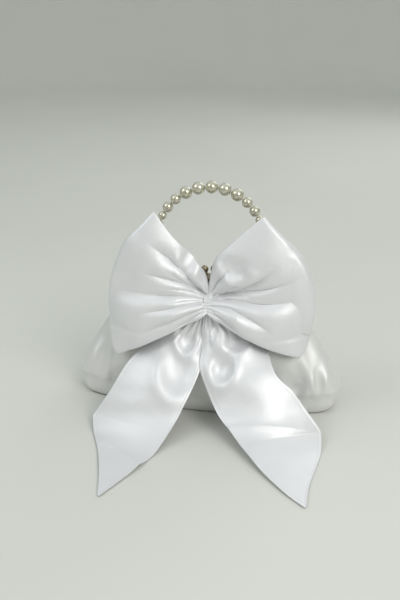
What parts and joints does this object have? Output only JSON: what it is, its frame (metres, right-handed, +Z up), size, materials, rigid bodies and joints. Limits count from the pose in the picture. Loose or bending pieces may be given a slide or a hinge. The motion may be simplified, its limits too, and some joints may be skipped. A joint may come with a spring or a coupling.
{
  "type": "kiss-lock bow handbag",
  "caption": "Small soft satin clasp-frame bag with a boat-shaped base, a beaded pearl top handle and a large gathered bow with two pointed tails on its front.",
  "frame": {"origin": "middle of the base's underside, on the ground", "axes": "+X across the bag to its right seen from the front, +Y to the back, +Z up; the bow is on the -Y side"},
  "size_m": [0.2558, 0.2228, 0.2108],
  "materials": {
    "satin": "white duchess satin with a soft sheen",
    "lining": "plain ivory lining cloth",
    "board": "grey-brown fibreboard",
    "paper_cord": "twisted paper cord",
    "gold_metal": "pale antique gold plating",
    "pearl": "ivory imitation pearl with a soft lustre",
    "wire": "plain wire"
  },
  "bodies": {
    "bag": {"front_panel": "satin", "back_panel_lower": "satin", "base_panel": "satin", "base_board": "board", "lining_base": "lining", "lining_front": "lining", "lining_back_lower": "lining", "front_frame": "gold_metal", "front_channel_cord": "paper_cord", "hinge_rivet_left": "gold_metal", "hinge_rivet_right": "gold_metal", "front_kiss_knob": "gold_metal", "handle_eye_left": "gold_metal", "handle_eye_right": "gold_metal", "bow_loop_left": "satin", "bow_loop_right": "satin", "bow_gather": "satin", "bow_patch": "satin", "bow_tail_left": "satin", "bow_tail_right": "satin"},
    "back_half": {"back_frame": "gold_metal", "back_channel_cord": "paper_cord", "back_kiss_knob": "gold_metal", "back_panel_upper": "satin", "lining_back_upper": "lining"},
    "handle": {"jump_ring_left": "gold_metal", "jump_ring_right": "gold_metal", "end_cap_left": "gold_metal", "end_cap_right": "gold_metal", "handle_wire": "wire", "pearl_01": "pearl", "pearl_02": "pearl", "pearl_03": "pearl", "pearl_04": "pearl", "pearl_05": "pearl", "pearl_06": "pearl", "pearl_07": "pearl", "pearl_08": "pearl", "pearl_09": "pearl", "pearl_10": "pearl", "pearl_11": "pearl", "pearl_12": "pearl", "pearl_13": "pearl", "pearl_14": "pearl", "pearl_15": "pearl", "pearl_16": "pearl", "pearl_17": "pearl", "pearl_18": "pearl", "pearl_19": "pearl"}
  },
  "joints": [
    {"name": "clasp_open", "type": "hinge", "parent": "bag", "child": "back_half", "pos_m": [0, 0, 0.086], "axis": [-1, 0, 0], "range_deg": [0, 50]},
    {"name": "handle_swing", "type": "hinge", "parent": "bag", "child": "handle", "pos_m": [0, -0.00315, 0.1292], "axis": [-1, 0, 0], "range_deg": [-5, 80]}
  ]
}
